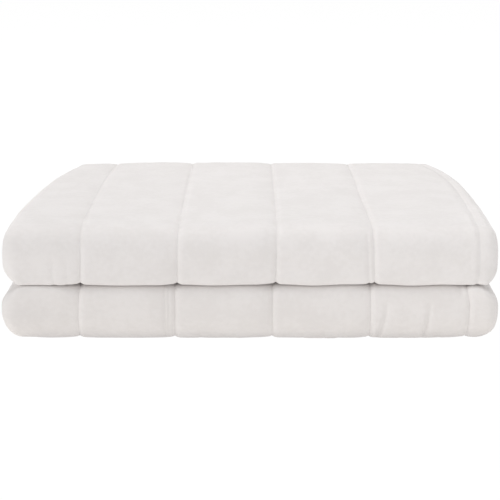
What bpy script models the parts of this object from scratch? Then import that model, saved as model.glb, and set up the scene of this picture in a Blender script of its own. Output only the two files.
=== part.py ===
# A weighted blanket, quilted in ten long channels and folded into a low stack.
# Metres, +Z up. The stack stands on z = 0 with its two front folds towards -Y.
#
# The blanket is first a flat padded slab, with u across its channels and v along
# them. Both side edges are folded to the middle of the width, which makes a strip of
# two layers. The strip's two ends are folded to the middle of its length, and the
# whole is folded in half, so four strips, or eight layers, lie on each other.

from math import cos, pi, sin, sqrt

import bmesh
import bpy

NAME = "weighted_blanket"

# The blanket laid flat
CHANNELS = 10
CHANNEL_PITCH = 0.122          # from one sewn line to the next
EDGE_CHANNEL = 0.110           # the first and last channel give 12 mm to the hem
LENGTH = 1.830                 # along the channels
WIDTH = (CHANNELS - 2) * CHANNEL_PITCH + 2 * EDGE_CHANNEL

# Loft, as half thicknesses of the padded cloth
CROWN = 0.0083                 # middle of a channel
SEWN = 0.0050                  # on a sewn line
HEM = 0.0030                   # at the closed edge
SHOULDER = 0.022               # from a sewn line or the hem to the full crown
NECK = 0.007                   # a point on the steep part of the shoulder

# Folding
LAYER_PITCH = 0.0184           # from one layer's middle to the next one's
FLAP_GAP = 0.006               # between the two side edges where they meet
PANEL_SHIFT = 0.0305           # the blanket's middle seam lies this far right
BACK_RADIUS = 0.0305           # corners of the back fold, at the strip's middle
END_GAP = 0.004                # from the folded-in ends to the back fold

FOLD_RADIUS = LAYER_PITCH / 2  # side folds, at the cloth's middle
STRIP_PITCH = 2 * LAYER_PITCH
FRONT_RADIUS = STRIP_PITCH / 2 # front folds, at the strip's middle
HEIGHT = 4 * STRIP_PITCH
MIDDLE = HEIGHT / 2
REST = FOLD_RADIUS - CROWN     # the lowest crowns would lie this far above z = 0

# Across: half the flat outer panel, and the folded stack's half width
PANEL_HALF = (WIDTH + FLAP_GAP - 2 * pi * FOLD_RADIUS) / 4
HALF_WIDTH = PANEL_HALF + FOLD_RADIUS + CROWN
PANEL_MIDDLE = WIDTH / 2 - PANEL_SHIFT

# Along: the runs of half the length, from the middle of the back to one end
BACK_RISE = 1.5 * STRIP_PITCH - BACK_RADIUS
BACK_TURN = pi / 2 * BACK_RADIUS
FRONT_TURN = pi * FRONT_RADIUS
END_REACH = BACK_RADIUS - FRONT_RADIUS - END_GAP
OUTER_LEG = (LENGTH / 2 - BACK_RISE - BACK_TURN - FRONT_TURN - END_REACH) / 2
INNER_LEG = OUTER_LEG + END_REACH
DEPTH = OUTER_LEG + 2 * FRONT_RADIUS + BACK_RADIUS + FRONT_RADIUS
FRONT_Y = -DEPTH / 2 + 2 * FRONT_RADIUS
BACK_Y = FRONT_Y + OUTER_LEG

# How the stack lies: it is narrower towards the back, with round back corners. A side
# has the y where its narrowing starts, the most it draws in at the back, and a power.
BACK_CORNERS = {
    "left": {"start_y": -0.190, "draw_in": 0.066, "power": 2.6},
    "right": {"start_y": -0.140, "draw_in": 0.057, "power": 3.7},
}
CORNER_REACH = 3               # power of |x|: how near the side the draw-in stays
CORNER_DROP = 0.003            # how much lower the back corners lie
LOWER_SPREAD = 0.006           # the lower half lies this share wider
SIDE_LIFT = 0.004              # the lowest fold curls up this much at its sides
LIFT_FROM = 0.80               # share of the half width where the curl starts

# Sideways drift of the five sewn lines that show, in the upper and lower half
SEAM_DRIFT = (
    # lines from the middle, upper, lower
    (-2, 0.0055, 0.0016),
    (-1, 0.0033, -0.0011),
    (0, 0.0009, -0.0033),
    (1, -0.0035, -0.0059),
    (2, 0.0056, -0.0074),
)
CHANGE_FROM = 0.40             # share of the height where lower turns to upper
CHANGE_TO = 0.60

# Steps of the mesh
FOLD_STEPS = 5
FRONT_STEPS = 8
BACK_TURN_STEPS = 4
LEG_STEPS = 6
INNER_STEPS = 3
CLEAR = 0.004                  # a point this near a side fold is left out

CLOTH = {"colour": (0.85, 0.83, 0.82, 1.0), "roughness": 0.9, "metallic": 0.0}


def smooth(share):
    share = min(max(share, 0.0), 1.0)
    return share * share * (3 - 2 * share)


def sewn_lines():
    return [EDGE_CHANNEL + CHANNEL_PITCH * k for k in range(CHANNELS - 1)]


def rise(distance, low):
    """Half thickness at a distance from a sewn line or hem that is low thick."""
    share = min(distance / SHOULDER, 1.0)
    return low + (CROWN - low) * sqrt(1 - (1 - share) ** 2)


def half_thickness(u, v):
    seam = min(abs(u - line) for line in sewn_lines())
    edge = min(u, WIDTH - u, v, LENGTH - v)
    return min(rise(seam, SEWN), rise(max(edge, 0.0), HEM))


def fold_across(u, t):
    """Folds both side edges to the middle. n is the height from the strip's middle."""
    offset = u - PANEL_MIDDLE
    side = 1 if offset > 0 else -1
    run = abs(offset) - PANEL_HALF
    if run <= 0:
        return offset, FOLD_RADIUS + t
    if run <= pi * FOLD_RADIUS:
        turn = run / FOLD_RADIUS
        reach = FOLD_RADIUS + t
        return side * (PANEL_HALF + reach * sin(turn)), reach * cos(turn)
    return side * (PANEL_HALF + pi * FOLD_RADIUS - run), -FOLD_RADIUS - t


def fold_along(v, n):
    """Lays the strip out as the stack's side section: its depth y and height z."""
    half = 1 if v < LENGTH / 2 else -1
    run = abs(v - LENGTH / 2)
    if run <= BACK_RISE:
        return BACK_Y + BACK_RADIUS + n, MIDDLE + half * run
    run -= BACK_RISE
    if run <= BACK_TURN:
        turn = run / BACK_RADIUS
        reach = BACK_RADIUS + n
        return BACK_Y + reach * cos(turn), MIDDLE + half * (BACK_RISE + reach * sin(turn))
    run -= BACK_TURN
    if run <= OUTER_LEG:
        return BACK_Y - run, MIDDLE + half * (1.5 * STRIP_PITCH + n)
    run -= OUTER_LEG
    if run <= FRONT_TURN:
        turn = run / FRONT_RADIUS
        reach = FRONT_RADIUS + n
        return FRONT_Y - reach * sin(turn), MIDDLE + half * (STRIP_PITCH + reach * cos(turn))
    run -= FRONT_TURN
    return FRONT_Y + run, MIDDLE + half * (0.5 * STRIP_PITCH - n)


def drift(x, column):
    """Sideways drift at x, read between the sewn lines, and none at the sides."""
    knots = [(-HALF_WIDTH, 0.0)]
    knots += [(PANEL_SHIFT + row[0] * CHANNEL_PITCH, row[column]) for row in SEAM_DRIFT]
    knots += [(HALF_WIDTH, 0.0)]
    for (x0, d0), (x1, d1) in zip(knots, knots[1:]):
        if x0 <= x <= x1:
            return d0 + (d1 - d0) * (x - x0) / (x1 - x0)
    return 0.0


def lie(x, y, z):
    """Settles a point of the straight stack into the way the cloth lies."""
    upper = smooth((z / HEIGHT - CHANGE_FROM) / (CHANGE_TO - CHANGE_FROM))
    x += upper * drift(x, 1) + (1 - upper) * drift(x, 2)
    x *= 1 + LOWER_SPREAD * (1 - upper)
    corner = BACK_CORNERS["left" if x < 0 else "right"]
    back = (y - corner["start_y"]) / (DEPTH / 2 - corner["start_y"])
    back = min(max(back, 0.0), 1.0)
    side = min(abs(x) / HALF_WIDTH, 1.0)
    pull = corner["draw_in"] * back ** corner["power"] * side ** CORNER_REACH
    x -= pull if x > 0 else -pull
    z -= CORNER_DROP * back ** 2 * side ** 2 * z / HEIGHT
    z += SIDE_LIFT * smooth((side - LIFT_FROM) / (1 - LIFT_FROM)) * (1 - z / HEIGHT) ** 2
    return x, y, z


def columns():
    """u of each line of points along the blanket. The folded-in flaps have fewer."""
    lines = [0.0] + sewn_lines() + [WIDTH]
    reach = PANEL_HALF + pi * FOLD_RADIUS
    stations = [WIDTH]
    for left, right in zip(lines, lines[1:]):
        stations += [left, left + SHOULDER, right - SHOULDER]
        if right > PANEL_MIDDLE - reach and left < PANEL_MIDDLE + reach:
            stations += [left + NECK, right - NECK]
    for low in (PANEL_MIDDLE - reach, PANEL_MIDDLE + PANEL_HALF):
        high = low + pi * FOLD_RADIUS
        stations = [u for u in stations if not low - CLEAR < u < high + CLEAR]
        stations += [low + (high - low) * k / FOLD_STEPS for k in range(FOLD_STEPS + 1)]
    return sorted(stations)


def rows():
    """v of each line of points across the blanket."""
    run = 0.0
    half = [run]
    parts = (
        (BACK_RISE, 1),
        (BACK_TURN, BACK_TURN_STEPS),
        (OUTER_LEG, LEG_STEPS),
        (FRONT_TURN, FRONT_STEPS),
        (INNER_LEG - SHOULDER, INNER_STEPS),
        (SHOULDER - NECK, 1),
        (NECK, 1),
    )
    for length, steps in parts:
        half += [run + length * (k + 1) / steps for k in range(steps)]
        run += length
    return sorted([LENGTH / 2 - r for r in half[1:]] + [LENGTH / 2 + r for r in half])


def cloth_material():
    material = bpy.data.materials.new("plush")
    material.use_nodes = True
    shader = material.node_tree.nodes["Principled BSDF"]
    shader.inputs["Base Color"].default_value = CLOTH["colour"]
    shader.inputs["Roughness"].default_value = CLOTH["roughness"]
    shader.inputs["Metallic"].default_value = CLOTH["metallic"]
    return material


def make_blanket(collection):
    """A flat grid is thickened to a slab, then each point is lofted and folded."""
    across, along = columns(), rows()
    bm = bmesh.new()
    bmesh.ops.create_grid(
        bm, x_segments=len(across) - 1, y_segments=len(along) - 1, size=0.5
    )
    bmesh.ops.solidify(bm, geom=bm.faces[:], thickness=0.1)
    bmesh.ops.recalc_face_normals(bm, faces=bm.faces[:])
    level = sum(point.co.z for point in bm.verts) / len(bm.verts)
    for point in bm.verts:
        u = across[round((point.co.x + 0.5) * (len(across) - 1))]
        v = along[round((point.co.y + 0.5) * (len(along) - 1))]
        t = half_thickness(u, v) * (1 if point.co.z > level else -1)
        x, n = fold_across(u, t)
        y, z = fold_along(v, n)
        point.co = lie(x, y, z - REST)
    mesh = bpy.data.meshes.new("blanket")
    bm.to_mesh(mesh)
    bm.free()
    mesh.shade_smooth()
    mesh.materials.append(cloth_material())
    blanket = bpy.data.objects.new("blanket", mesh)
    collection.objects.link(blanket)
    return blanket


def main():
    for thing in list(bpy.data.objects):
        bpy.data.objects.remove(thing, do_unlink=True)
    collection = bpy.data.collections.new(NAME)
    bpy.context.scene.collection.children.link(collection)
    make_blanket(collection)


main()
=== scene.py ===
from math import pi, radians

import bpy
import numpy as np
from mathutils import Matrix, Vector
from mathutils.geometry import convex_hull_2d


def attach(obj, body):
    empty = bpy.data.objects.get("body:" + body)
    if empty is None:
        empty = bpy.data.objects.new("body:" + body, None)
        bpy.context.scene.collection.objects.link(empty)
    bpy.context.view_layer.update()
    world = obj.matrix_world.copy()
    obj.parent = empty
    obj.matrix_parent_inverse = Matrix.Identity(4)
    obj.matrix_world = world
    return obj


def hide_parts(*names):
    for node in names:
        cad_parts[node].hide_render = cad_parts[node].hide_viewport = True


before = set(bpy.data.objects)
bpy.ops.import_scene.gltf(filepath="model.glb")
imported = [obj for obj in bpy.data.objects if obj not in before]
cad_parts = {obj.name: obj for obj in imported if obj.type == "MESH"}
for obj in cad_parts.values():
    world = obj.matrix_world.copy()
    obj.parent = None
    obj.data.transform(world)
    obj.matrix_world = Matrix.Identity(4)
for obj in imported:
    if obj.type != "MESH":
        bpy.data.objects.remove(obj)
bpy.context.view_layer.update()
print("frame loaded:", ", ".join(sorted(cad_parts)))


# small helpers

def smooth(share):
    share = np.clip(share, 0.0, 1.0)
    return share * share * (3 - 2 * share)


def softWaves(a, b, size, count, seed):
    # gentle random hills between about -1 and 1; size is their length along a and along b
    rng = np.random.default_rng(seed)
    total = np.zeros_like(a)
    for _ in range(count):
        turn = rng.uniform(0, 2 * pi)
        stretch = rng.uniform(0.7, 1.4)
        start = rng.uniform(0, 2 * pi)
        along = a * np.cos(turn) / size[0] + b * np.sin(turn) / size[1]
        total += np.sin(2 * pi * stretch * along + start)
    return total / np.sqrt(count)


def makeObject(name, points, faces, material):
    mesh = bpy.data.meshes.new(name)
    mesh.from_pydata(points, [], faces)
    mesh.validate()
    mesh.shade_smooth()
    mesh.materials.append(material)
    piece = bpy.data.objects.new(name, mesh)
    bpy.context.scene.collection.objects.link(piece)
    return piece


# shader building

class Value:
    # one output of a shader node; sums and products of it add Math nodes
    def __init__(self, finish, socket):
        self.finish = finish
        self.socket = socket

    def math(self, operation, first, second):
        return self.finish.node("Math", {"operation": operation}, {0: first, 1: second})

    def __add__(self, other):
        return self.math("ADD", self, other)

    def __radd__(self, other):
        return self.math("ADD", other, self)

    def __mul__(self, other):
        return self.math("MULTIPLY", self, other)

    def __rmul__(self, other):
        return self.math("MULTIPLY", other, self)


class Finish:
    # a material and the way its nodes are added
    def __init__(self, name):
        self.material = bpy.data.materials.new(name)
        self.material.use_nodes = True
        self.tree = self.material.node_tree
        self.shader = self.tree.nodes["Principled BSDF"]

    def node(self, kind, settings=None, sockets=None, output=0):
        made = self.tree.nodes.new("ShaderNode" + kind)
        for name, value in (settings or {}).items():
            setattr(made, name, value)
        for name, value in (sockets or {}).items():
            self.feed(made.inputs[name], value)
        return Value(self, made.outputs[output])

    def feed(self, socket, value):
        if isinstance(value, Value):
            self.tree.links.new(value.socket, socket)
        else:
            socket.default_value = value

    def surface(self, **sockets):
        for name, value in sockets.items():
            self.feed(self.shader.inputs[name.replace("_", " ")], value)


# the blanket
#
# Laid flat it is a padded slab: u runs across its channels and v along them, and t is the
# height from the cloth's middle. Both side edges are folded to the middle of the width, both
# ends to the middle of the length, and the whole in half, so eight layers lie on each other.

blanket = {
    "channels": 10,
    "channelPitch": 0.122,     # from one sewn line to the next
    "edgeChannel": 0.110,      # first and last channel
    "length": 1.830,
    # half thickness of the cloth
    "crown": 0.0083,           # in the middle of a channel
    "crownFall": 0.0007,       # it is this much lower beside a sewn line
    "groove": {                # and the sewn line lies this much deeper again
        "back": 0.0009, "top": 0.0024, "front": 0.0029, "crease": 0.0004, "base": 0.0008,
    },
    "grooveFrom": {            # metres past the back, before the front fold, then shares of that
        "back": 0.020, "front": 0.015, "face": 1 / 3, "low": 0.66,
    },
    # a groove's two walls, over their distance from its line; the left one leans further out
    "leftWall": {"reach": 0.0032, "power": 1.2, "leanReach": 0.026, "lean": 0.6},
    "rightWall": {"reach": 0.0058, "power": 1.3},
    # the upper half's last line is shallower, and its walls change sides
    "lastLine": {"from": 0.21, "share": 0.38},
    "hem": 0.0030,             # at the closed edge
    "hemReach": 0.022,         # from the edge to the full crown
    # folding
    "layerPitch": 0.0184,      # from one layer's middle to the next one's
    "flapGap": 0.006,          # between the two side edges where they meet
    "panelShift": 0.0305,      # the middle sewn line lies this far right
    "backRadius": 0.0305,      # corners of the back fold
    "endGap": 0.004,           # from the folded-in ends to the back fold
    # the front folds' corners: 2 is round, more is squarer
    "upperFold": {"over": 2.15, "under": 14.0},
    "lowerFold": {"over": 5.2, "under": 2.0},
    "overhang": 0.0026,        # how far the upper fold stands in front of the lower
    "endOverhang": -0.0030,    # and at the sides
    # each swells towards the other over these shares of its turn
    "press": {"depth": 0.0012, "from": 0.55, "full": 0.85},
    # at the sides they close up, over these shares of the flat panel's half width
    "endPower": 20.0,
    "endFrom": {"left": (0.76, 0.93), "right": (0.93, 0.99)},
    # the way the stack lies
    "halves": (0.4, 0.6),      # shares of the height: the lower half ends, the upper begins
    # where the halves meet their sides draw in
    "waist": {"left": 0.0120, "right": 0.0080, "reach": 0.014, "drop": 0.001},
    "leftTuck": {"depth": 0.008, "height": 0.055},    # how far the left side draws in at the floor
    "lowerSpread": 0.006,      # the lower half lies this share wider
    "sideLift": 0.004,         # the lowest fold curls up this much at its sides
    "liftFrom": {"left": 0.80, "right": 0.92},    # share of the half width
    "cornerDrop": 0.0024,      # how much lower the back corners lie
    # from a y on, the stack narrows towards the back
    "leftCorner": {"startY": -0.190, "drawIn": 0.066, "power": 2.6},
    "rightCorner": {"startY": -0.140, "drawIn": 0.057, "power": 3.7},
    "sidePowers": {"corner": 3, "waist": 8, "hills": 6},    # more keeps a change nearer the sides
    "middleRise": 0.0031,      # how much higher the folds meet than halfway
    "middleSag": 0.0022,       # and how much lower again at the sides
    "sagFrom": 0.93,           # share of the half width
    # soft hills: height, length each way, how many waves, seed
    "hills": {
        "middle": (0.0006, (0.07, 0.30), 9, 24),
        "top": (0.0007, (0.25, 0.25), 12, 23),
        "sides": (0.0012, (0.30, 0.16), 10, 21),
        "front": (0.0010, (0.22, 0.12), 10, 22),
        "gathers": (0.00010, (0.060, 0.011), 14, 11),    # beside the sewn lines
        "dimples": (0.00026, (0.038, 0.038), 18, 12),    # uneven filling inside the channels
    },
    "gatherReach": 0.016,      # from the sewn line
    "creaseEnd": 0.04,         # share of its length; nearer its ends a crease gets no shallower
    "innerPattern": 0.05,      # the inner face's nap is taken this far from the outer's
}

# how far the sides and the sewn lines that show drift sideways, in metres
lineDrift = {
    # upper half: back, middle, edge, face, crease; lower half: crease, face, base
    "left side": (0.0012, 0.0012, 0.0016, 0.0010, 0.0000, -0.0010, -0.0030, -0.0010),
    "line 1": (-0.0005, 0.0052, 0.0058, 0.0072, 0.0045, 0.0060, 0.0030, 0.0016),
    "line 2": (0.0053, 0.0036, 0.0033, 0.0028, 0.0020, -0.0001, -0.0003, -0.0022),
    "line 3": (0.0002, 0.0013, 0.0018, 0.0015, 0.0003, -0.0028, -0.0036, -0.0035),
    "line 4": (-0.0045, -0.0058, -0.0022, -0.0015, 0.0002, -0.0063, -0.0052, -0.0060),
    "line 5": (0.0075, 0.0085, 0.0060, 0.0065, 0.0058, -0.0062, -0.0070, -0.0080),
    "right side": (0.0000, 0.0008, 0.0018, 0.0020, 0.0006, 0.0000, 0.0000, 0.0000),
}

# soft troughs of the front folds, and one ridge: degrees run from a fold's top down its face,
# and below nought they lie on the top, back from its edge
creases = (
    # fold, x from, degrees from, x to, degrees to, half width, depth
    ("upper", 0.1450, 35, 0.1460, 176, 0.0020, 0.0021),
    ("upper", 0.2290, 50, 0.2560, 100, 0.0035, 0.0010),
    ("upper", -0.2460, 85, -0.2440, 150, 0.0030, 0.0013),
    ("upper", -0.2290, 95, -0.2300, 150, 0.0028, 0.0009),
    ("upper", 0.2690, -190, 0.2692, 172, 0.0038, -0.0013),
    ("upper", 0.2690, -530, 0.2780, -440, 0.0045, 0.0016),
    ("upper", 0.2870, 70, 0.2860, 150, 0.0060, 0.0014),
    ("lower", -0.1040, 15, -0.1030, 150, 0.0017, 0.0013),
    ("lower", -0.0990, 30, -0.0985, 140, 0.0015, 0.0010),
    ("lower", 0.1735, 72, 0.1620, 160, 0.0030, 0.0042),
    ("lower", 0.2260, 72, 0.2190, 160, 0.0028, 0.0042),
    ("lower", -0.2120, 60, -0.2300, 120, 0.0080, 0.0020),
    ("lower", -0.0600, 125, -0.0590, 168, 0.0030, 0.0011),
    ("lower", -0.0150, 120, -0.0160, 168, 0.0030, 0.0010),
    ("lower", 0.0700, 130, 0.0690, 168, 0.0030, 0.0011),
    ("lower", 0.0970, 120, 0.0960, 168, 0.0028, 0.0012),
    ("lower", 0.1140, 125, 0.1150, 168, 0.0028, 0.0010),
    ("lower", 0.1940, 120, 0.1930, 168, 0.0030, 0.0011),
    ("lower", 0.2420, 120, 0.2410, 168, 0.0030, 0.0011),
    ("lower", 0.2830, 115, 0.2810, 168, 0.0035, 0.0011),
)

width = (blanket["channels"] - 2) * blanket["channelPitch"] + 2 * blanket["edgeChannel"]
length = blanket["length"]
foldRadius = blanket["layerPitch"] / 2
stripPitch = 2 * blanket["layerPitch"]
frontRadius = stripPitch / 2
height = 4 * stripPitch
middle = height / 2
rest = foldRadius - blanket["crown"]
panelHalf = (width + blanket["flapGap"] - 2 * pi * foldRadius) / 4
halfWidth = panelHalf + foldRadius + blanket["crown"]
panelMiddle = width / 2 - blanket["panelShift"]
backRadius = blanket["backRadius"]
backRise = 1.5 * stripPitch - backRadius
backTurn = pi / 2 * backRadius
frontTurn = pi * frontRadius
endReach = backRadius - frontRadius - blanket["endGap"]
outerLeg = (length / 2 - backRise - backTurn - frontTurn - endReach) / 2
depth = outerLeg + 3 * frontRadius + backRadius
frontY = -depth / 2 + 2 * frontRadius
backY = frontY + outerLeg
topStart = backRise + backTurn
foldStart = topStart + outerLeg
foldEnd = foldStart + frontTurn
sewnLines = [
    blanket["edgeChannel"] + blanket["channelPitch"] * k for k in range(blanket["channels"] - 1)
]


def hills(name, a, b):
    # one of the blanket's sets of soft hills, in metres
    rise, size, count, seed = blanket["hills"][name]
    return rise * softWaves(a, b, size, count, seed)


def lineGap(u):
    # signed distance to the nearest sewn line
    gaps = np.stack([u - line for line in sewnLines])
    nearest = np.abs(gaps).argmin(0)
    return np.take_along_axis(gaps, nearest[None], 0)[0]


def hemRise(u, v):
    # the cloth rounds off towards its closed edge
    edge = np.clip(np.minimum(np.minimum(u, width - u), np.minimum(v, length - v)), 0, None)
    share = np.minimum(edge / blanket["hemReach"], 1.0)
    rise = np.sqrt(1 - (1 - share) ** 2)
    return blanket["hem"] + (blanket["crown"] - blanket["hem"]) * rise


def grooveDepth(v):
    # by the distance along the strip from the middle of the back; the lower half's is negative
    groove, start = blanket["groove"], blanket["grooveFrom"]
    top, edge = topStart + start["back"], foldStart - start["front"]
    face, low = foldStart + frontTurn * start["face"], foldStart + frontTurn * start["low"]
    stations = (
        (-foldEnd, "crease"), (-low, "front"), (-face, "front"), (-edge, "base"),
        (-topStart, "back"), (0, "back"),
        (top, "top"), (edge, "top"), (face, "front"), (low, "front"), (foldEnd, "crease"),
    )
    places = [place for place, _ in stations]
    depths = [groove[name] for _, name in stations]
    return np.interp(length / 2 - v, places, depths)


def loft(u, v):
    # half thickness of the padded cloth before its wrinkles
    last = blanket["lastLine"]
    atLast = (u > panelMiddle + last["from"]) & (u < panelMiddle + panelHalf) & (v < length / 2)
    gap = lineGap(u) * np.where(atLast, -1, 1)

    def near(reach):
        return 1 - np.minimum(np.abs(gap) / reach, 1.0)

    left, right = blanket["leftWall"], blanket["rightWall"]
    lean = left["lean"] * near(left["leanReach"]) ** 2
    leftFall = lean + (1 - left["lean"]) * near(left["reach"]) ** left["power"]
    rightFall = near(right["reach"]) ** right["power"]
    full = blanket["crown"] - blanket["crownFall"] * near(blanket["channelPitch"] / 2) ** 2
    fall = np.where(gap < 0, leftFall, rightFall) * np.where(atLast, last["share"], 1.0)
    full = full - grooveDepth(v) * fall
    return np.minimum(full, hemRise(u, v))


def wrinkles(u, v):
    # what the outer face adds to the plain loft
    nearLine = np.exp(-(lineGap(u) / blanket["gatherReach"]) ** 2)
    press = blanket["press"]
    fold = (np.abs(v - length / 2) - foldStart) / frontTurn
    pressed = smooth((fold - press["from"]) / (press["full"] - press["from"]))
    uneven = hills("gathers", u, v) * nearLine + hills("dimples", u, v) * (1 - pressed)
    return uneven - creased(u, v) + press["depth"] * pressed


def creased(u, v):
    # how far the troughs take the outer face in
    alongFold = (length / 2 - v) / frontRadius
    start, radius = foldStart / frontRadius, frontRadius + foldRadius
    end = blanket["creaseEnd"]
    deep = np.zeros_like(u)
    for fold, xFrom, degreesFrom, xTo, degreesTo, reach, amount in creases:
        turn = alongFold - start if fold == "upper" else alongFold + start + pi
        down = turn * radius
        u0, u1 = panelMiddle + xFrom, panelMiddle + xTo
        d0, d1 = radians(degreesFrom) * radius, radians(degreesTo) * radius
        du, dd = u1 - u0, d1 - d0
        share = np.clip(((u - u0) * du + (down - d0) * dd) / (du * du + dd * dd), 0, 1)
        away = np.hypot(u - u0 - share * du, down - d0 - share * dd)
        taper = np.sqrt(np.sin(pi * np.clip(share, end, 1 - end)))
        here = amount * taper * np.exp(-(away / reach) ** 2)
        deep = np.where(np.abs(here) > np.abs(deep), here, deep)
    return deep


def foldAcross(u, t):
    # side edges to the middle; n is the height from the middle of the two layers
    offset = u - panelMiddle
    side = np.where(offset > 0, 1, -1)
    run = np.abs(offset) - panelHalf
    turn = np.clip(run / foldRadius, 0, pi)
    reach = foldRadius + t
    past = np.maximum(run - pi * foldRadius, 0)
    folded = side * (panelHalf + reach * np.sin(turn) - past)
    n = reach * np.cos(turn)
    return np.where(run <= 0, offset, folded), n


def foldAlong(u, v, n):
    # the strip folded in half over the back, its ends turned in at the front: y and z
    half = np.where(v < length / 2, 1, -1)
    run = np.abs(v - length / 2)
    onBack = np.clip((run - backRise) / backRadius, 0, pi / 2)
    onLeg = np.clip(run - topStart, 0, outerLeg)
    onFront = np.clip((run - foldStart) / frontRadius, 0, pi)
    inside = np.maximum(run - foldEnd, 0)
    upperFold, lowerFold = blanket["upperFold"], blanket["lowerFold"]
    outer = np.where(half > 0, upperFold["over"], lowerFold["under"])
    inner = np.where(half > 0, upperFold["under"], lowerFold["over"])
    offset = (u - panelMiddle) / panelHalf
    left, right = blanket["endFrom"]["left"], blanket["endFrom"]["right"]
    closed = smooth((-offset - left[0]) / (left[1] - left[0]))
    closed = closed + smooth((offset - right[0]) / (right[1] - right[0]))
    inner = inner + (blanket["endPower"] - inner) * closed
    power = np.where(onFront > pi / 2, inner, outer)
    square = (np.sin(onFront) ** power + np.abs(np.cos(onFront)) ** power) ** (-1 / power)
    front = (frontRadius + n) * square
    back = backRadius + n
    y = np.where(
        onFront > 0,
        frontY - front * np.sin(onFront) + inside,
        backY + back * np.cos(onBack) - onLeg,
    )
    rise = np.where(
        onFront > 0,
        stripPitch + front * np.cos(onFront),
        np.minimum(run, backRise) + back * np.sin(onBack),
    )
    return y, middle + half * rise


def drift(x, v):
    # sideways, between the lines and the stations along the strip
    lines = [blanket["panelShift"] + k * blanket["channelPitch"] for k in (-2, -1, 0, 1, 2)]
    places = np.array([-halfWidth] + lines + [halfWidth])
    middleOfFold = foldStart + frontTurn / 2
    upper = [topStart, topStart + outerLeg / 2, foldStart, middleOfFold, foldEnd]
    stations = [-foldEnd, -middleOfFold, -foldStart] + upper
    values = [row[len(upper):] + row[:len(upper)] for row in lineDrift.values()]
    drifts = np.stack([np.interp(length / 2 - v, stations, row) for row in values])
    after = np.clip(np.searchsorted(places, x), 1, len(places) - 1)
    share = np.clip((x - places[after - 1]) / (places[after] - places[after - 1]), 0, 1)
    before = np.take_along_axis(drifts, (after - 1)[None], 0)[0]
    beyond = np.take_along_axis(drifts, after[None], 0)[0]
    return before + (beyond - before) * smooth(share)


def lieDown(x, y, z, v):
    # settles the straight stack into the way the cloth lies
    lowerEnds, upperBegins = blanket["halves"]
    upper = smooth((z / height - lowerEnds) / (upperBegins - lowerEnds))
    x = x + drift(x, v)
    x = x * (1 + blanket["lowerSpread"] * (1 - upper))
    side = np.minimum(np.abs(x) / halfWidth, 1.0)
    start = np.where(x < 0, blanket["liftFrom"]["left"], blanket["liftFrom"]["right"])
    curl = smooth((side - start) / (1 - start))
    overhang = blanket["overhang"] + (blanket["endOverhang"] - blanket["overhang"]) * curl
    y = y + overhang * (1 - upper) * np.clip(-2 * y / depth, 0, 1)
    share = np.clip(z / height, 0, 1)
    rise = blanket["middleRise"] + hills("middle", x, y)
    sag = blanket["middleSag"] * smooth((side - blanket["sagFrom"]) / (1 - blanket["sagFrom"]))
    z = z + 4 * share * (1 - share) * (rise - sag)
    pull = np.zeros_like(x)
    back = np.zeros_like(x)
    for corner, here in (("leftCorner", x < 0), ("rightCorner", x >= 0)):
        shape = blanket[corner]
        share = np.clip((y - shape["startY"]) / (depth / 2 - shape["startY"]), 0, 1)
        back = np.where(here, share, back)
        pull = np.where(here, shape["drawIn"] * share ** shape["power"], pull)
    powers = blanket["sidePowers"]
    x = x - np.sign(x) * pull * side ** powers["corner"]
    waist, tuck = blanket["waist"], blanket["leftTuck"]
    drawn = np.where(x < 0, waist["left"], waist["right"])
    drawn = drawn * np.exp(-((z - middle + waist["drop"]) / waist["reach"]) ** 2)
    low = tuck["depth"] * np.clip(1 - z / tuck["height"], 0, 1) ** 2
    x = x - np.sign(x) * (drawn + np.where(x < 0, low, 0)) * side ** powers["waist"]
    x = x + hills("sides", y, z) * side ** powers["hills"]
    y = y + hills("front", x, z)
    settled = hills("top", x, y) - blanket["cornerDrop"] * back ** 2 * side ** 2
    z = z + settled * z / height
    z = z + blanket["sideLift"] * curl * (1 - z / height) ** 2
    return x, y, z


meshSteps = {
    # columns
    "atLine": 0.0010,
    "awayFromLine": 0.25,      # they widen by this much of their distance from the line
    "inPanel": 0.0072,         # and no more than this
    "inCrease": 0.65,          # of the crease's half width
    "besideCrease": 2,         # half widths to either side that are as fine
    "inSideFold": 0.0026,
    "inFlap": 0.030,
    # rows
    "atBack": 0.0055,
    "onTop": 0.0085,
    "onBase": 0.026,
    "inFold": 0.0018,
    "atCorner": 0.62,          # this much finer where the folds press on each other
    "cornerAt": 135,           # degrees of the fold's turn
    "cornerTurn": 0.35,        # radians to either side
    "insideStack": 0.045,
    # both
    "inHem": 0.0073,
    "samples": 1201,           # places at which a stretch's steps are added up
}


def spread(low, high, step):
    # places from low to high as far apart as step says
    spots = np.linspace(low, high, meshSteps["samples"])
    count = np.cumsum(np.diff(spots) / step((spots[1:] + spots[:-1]) / 2))
    count = np.concatenate([[0], count])
    return np.interp(np.linspace(0, count[-1], round(count[-1]) + 1), count, spots)


def columnStep(u):
    offset = u - panelMiddle
    step = meshSteps["atLine"] + meshSteps["awayFromLine"] * np.abs(lineGap(u))
    step = np.minimum(step, meshSteps["inPanel"])
    for _, xFrom, _, xTo, _, reach, _ in creases:
        around = meshSteps["besideCrease"] * reach
        low, high = min(xFrom, xTo) - around, max(xFrom, xTo) + around
        beside = (offset > low) & (offset < high)
        step = np.where(beside, np.minimum(step, meshSteps["inCrease"] * reach), step)
    run = np.abs(offset) - panelHalf
    step = np.where(run > 0, meshSteps["inSideFold"], step)
    step = np.where(run > pi * foldRadius, meshSteps["inFlap"], step)
    hem = np.minimum(u, width - u) < blanket["hemReach"]
    return np.where(hem, meshSteps["inHem"], step)


def columnPlaces():
    places = [np.zeros(1)]
    for left, right in zip([0.0] + sewnLines, sewnLines + [width]):
        places.append(spread(left, right, columnStep)[1:])
    return np.concatenate(places)


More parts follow.
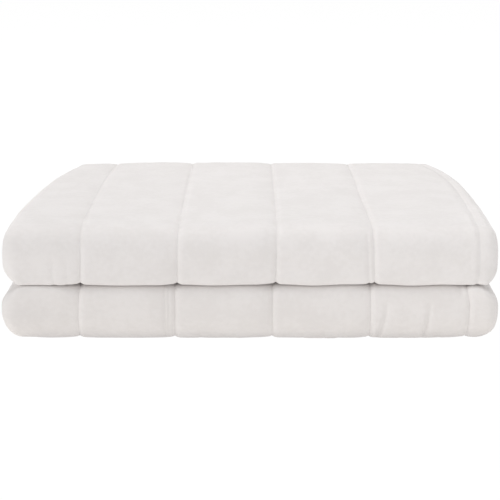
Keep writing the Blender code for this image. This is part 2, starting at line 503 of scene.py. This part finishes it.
def rowPlaces():
    # run is the distance from the middle of the back
    def halfPlaces(onLeg):
        def step(run):
            turn = (run - foldStart) / frontRadius - radians(meshSteps["cornerAt"])
            corner = np.exp(-(turn / meshSteps["cornerTurn"]) ** 2)
            fold = meshSteps["inFold"] * (1 - meshSteps["atCorner"] * corner)
            ends = (topStart, foldStart, foldEnd + foldRadius, length / 2 - blanket["hemReach"])
            sizes = (meshSteps["atBack"], onLeg, fold, meshSteps["insideStack"])
            return np.select([run < end for end in ends], sizes, meshSteps["inHem"])

        return spread(0, length / 2, step)

    upper, lower = halfPlaces(meshSteps["onTop"]), halfPlaces(meshSteps["onBase"])
    return np.concatenate([(length / 2 - upper[1:])[::-1], length / 2 + lower])


def shellFaces(rows, columns):
    # outer face, inner face turned over, and the closed hem all round
    index = np.arange(rows * columns).reshape(rows, columns)
    quads = np.stack([index[:-1, :-1], index[:-1, 1:], index[1:, 1:], index[1:, :-1]], -1)
    outer = quads.reshape(-1, 4)
    below = rows * columns
    inner = outer[:, ::-1] + below
    loop = np.concatenate([index[0, :-1], index[:-1, -1], index[-1, :0:-1], index[:0:-1, 0]])
    after = np.roll(loop, -1)
    hem = np.stack([loop, loop + below, after + below, after], -1)
    return np.concatenate([outer, inner, hem]).tolist()


def makeBlanket(material):
    u, v = np.meshgrid(columnPlaces(), rowPlaces())
    half = loft(u, v)
    points = []
    for t in (half + wrinkles(u, v) * (half - blanket["hem"]) / blanket["crown"], -half):
        x, n = foldAcross(u, t)
        y, z = foldAlong(u, v, n)
        x, y, z = lieDown(x, y, z - rest, v)
        points.append(np.stack([x, y, np.maximum(z, 0.0)], -1).reshape(-1, 3))
    piece = makeObject("foldedBlanket", np.concatenate(points), shellFaces(*u.shape), material)
    # the nap's place on the cloth, measured over the crowns and folds
    path = points[0].reshape(*u.shape, 3)[:, u.shape[1] // 2]
    along = np.concatenate([[0], np.cumsum(np.linalg.norm(np.diff(path, axis=0), axis=1))])
    place = np.stack([u, np.broadcast_to(along[:, None], u.shape), 0 * u], -1).reshape(-1, 3)
    inner = place + (0, 0, blanket["innerPattern"])
    attribute = piece.data.attributes.new("clothPlace", "FLOAT_VECTOR", "POINT")
    attribute.data.foreach_set("vector", np.concatenate([place, inner]).ravel())
    return piece


plush = {
    "light": (0.784, 0.755, 0.744, 1.0),
    "shade": (0.752, 0.722, 0.709, 1.0),
    "toneRange": (0.38, 0.62),     # of the noise, from shade to light
    "patchSize": 0.0060,           # brushed patches of the nap
    "broadSize": 0.048,            # and the larger areas they lie in
    "broadShare": 0.68,
    "patchDetail": 3.0,
    "patchEdge": 0.6,
    "pileSize": 0.0011,
    "pileDetail": 2.0,
    "pileEdge": 0.5,
    "pileHeight": 0.00018,
    "patchHeight": 0.00030,
    "roughness": 0.92,
    "specular": 0.2,
    "sheen": 0.25,
    "sheenRoughness": 0.5,
}


def plushMaterial():
    finish = Finish("plush")
    place = finish.node("Attribute", {"attribute_name": "clothPlace"}, output="Vector")

    def noise(size, detail, edge):
        sockets = {"Vector": place, "Scale": 1 / size, "Detail": detail, "Roughness": edge}
        return finish.node("TexNoise", None, sockets)

    patches = noise(plush["patchSize"], plush["patchDetail"], plush["patchEdge"])
    broad = noise(plush["broadSize"], plush["patchDetail"], plush["patchEdge"])
    pile = noise(plush["pileSize"], plush["pileDetail"], plush["pileEdge"])
    tone = patches * (1 - plush["broadShare"]) + broad * plush["broadShare"]
    lowest, highest = plush["toneRange"]
    tone = finish.node(
        "MapRange", {"interpolation_type": "SMOOTHSTEP"},
        {"Value": tone, "From Min": lowest, "From Max": highest},
    )
    colour = finish.node(
        "Mix", {"data_type": "RGBA"},
        {"Factor": tone, "A": plush["shade"], "B": plush["light"]}, output=2,
    )
    nap = pile * plush["pileHeight"] + patches * plush["patchHeight"]
    bump = finish.node("Bump", None, {"Strength": 1.0, "Distance": 1.0, "Height": nap})
    finish.surface(Base_Color=colour, Normal=bump, Roughness=plush["roughness"])
    finish.surface(Specular_IOR_Level=plush["specular"])
    finish.surface(Sheen_Weight=plush["sheen"], Sheen_Roughness=plush["sheenRoughness"])
    return finish.material


foldedBlanket = makeBlanket(plushMaterial())
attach(foldedBlanket, "root")
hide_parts("blanket")
print("blanket made:", len(foldedBlanket.data.polygons), "faces")


# floor, light and camera

studio = {
    "floorSize": 60.0,
    "floorColour": (0.06, 0.06, 0.06, 1.0),
    "floorRoughness": 0.95,
    "white": (1.0, 1.0, 1.0, 1.0),
    "floorGlow": 0.965,
    # painted shade: dark sheets the camera doesn't see, around where the blanket rests, stand in
    # for the floor's contact shadow, and their glow paints the dimmer light of that shaded floor
    "shadowCards": (
        # name, from and to around where the blanket rests, colour,
        # colour of the glow and its share of the floor's
        ("nearShadowCard", -0.006, 0.030, (0.50, 0.49, 0.48, 1.0), (1.0, 1.0, 1.0, 1.0), 0.44),
        ("farShadowCard", 0.030, 0.180, (0.06, 0.06, 0.06, 1.0), (1.0, 0.975, 0.94, 1.0), 0.955),
    ),
    "restBelow": 0.0025,       # the blanket rests where it is lower than this
    "shadowCardHeight": 0.0006,
    "sky": 0.48,
    "lampsTowards": (0.0, 0.0, 0.07),
    "lamps": (
        # name, watts, size, place
        ("farLeft", 200.0, 2.5, (-8.0, -2.5, 1.5)),
        ("above", 8.3, 2.0, (0.0, 0.3, 2.4)),
        ("behind", 22.5, 2.0, (0.0, 1.7, 2.4)),
        ("high", 6.4, 1.2, (0.25, -0.2, 1.7)),
        ("rightFill", 2.2, 0.8, (0.65, -1.3, 0.40)),
        ("front", 19.0, 4.0, (0.5, -4.5, 1.0)),
    ),
}


def makeFloor():
    finish = Finish("paleFloor")
    finish.surface(Base_Color=studio["floorColour"], Roughness=studio["floorRoughness"])
    finish.surface(Specular_IOR_Level=0.0)
    finish.surface(Emission_Color=studio["white"], Emission_Strength=studio["floorGlow"])
    half = studio["floorSize"] / 2
    corners = [(-half, -half, 0), (half, -half, 0), (half, half, 0), (-half, half, 0)]
    floor = makeObject("floor", corners, [(0, 1, 2, 3)], finish.material)


def makeShadowCards(piece):
    # painted shadow: they take some of the floor's glow off the fronts, standing in for the
    # floor's contact shadow; the camera doesn't see them
    points = piece.data.vertices
    spots = [point.co.xy for point in points if point.co.z < studio["restBelow"]]
    edge = [Vector(spots[k]) for k in convex_hull_2d(spots)]
    count = len(edge)
    faces = [(k, (k + 1) % count, count + (k + 1) % count, count + k) for k in range(count)]
    for name, inner, outer, colour, glow, share in studio["shadowCards"]:
        finish = Finish(name)
        finish.surface(Base_Color=colour, Roughness=1.0, Specular_IOR_Level=0.0)
        finish.surface(Emission_Color=glow, Emission_Strength=share * studio["floorGlow"])
        loops = []
        for reach in (inner, outer):
            for k, spot in enumerate(edge):
                way = edge[(k + 1) % count] - edge[k - 1]
                out = Vector((way.y, -way.x)).normalized()
                out = out if out.dot(spot) > 0 else -out
                loops.append((*(spot + reach * out), studio["shadowCardHeight"]))
        shadowSheet = makeObject(name, loops, faces, finish.material)
        shadowSheet.visible_camera = False


def makeLights():
    world = bpy.data.worlds.new("studio")
    bpy.context.scene.world = world
    world.use_nodes = True
    background = world.node_tree.nodes["Background"]
    background.inputs["Color"].default_value = studio["white"]
    background.inputs["Strength"].default_value = studio["sky"]
    for name, watts, size, place in studio["lamps"]:
        lamp = bpy.data.lights.new(name, "AREA")
        lamp.energy = watts
        lamp.size = size
        light = bpy.data.objects.new(name, lamp)
        light.location = place
        way = Vector(studio["lampsTowards"]) - Vector(place)
        light.rotation_euler = way.to_track_quat("-Z", "Y").to_euler()
        bpy.context.scene.collection.objects.link(light)


view = {
    "focalPixels": 1530.6,     # in the picture's 500 pixels
    "framePixels": 500,
    "sensor": 36.0,
    "clipEnd": 50.0,
    "pitch": 14.43,
    "place": (0.0, -2.0337, 0.5848),
}


def makeCamera():
    lens = bpy.data.cameras.new("camera")
    lens.sensor_width = view["sensor"]
    lens.lens = view["focalPixels"] * view["sensor"] / view["framePixels"]
    lens.clip_end = view["clipEnd"]
    camera = bpy.data.objects.new("camera", lens)
    camera.location = view["place"]
    camera.rotation_euler = (radians(90 - view["pitch"]), 0, 0)
    bpy.context.scene.collection.objects.link(camera)
    bpy.context.scene.camera = camera


makeFloor()
# painted contact shadow on the blanket's lower fronts, from sheets the camera doesn't see
makeShadowCards(foldedBlanket)
makeLights()
makeCamera()
bpy.context.scene.view_settings.view_transform = "Standard"
print("floor, lights and camera made")
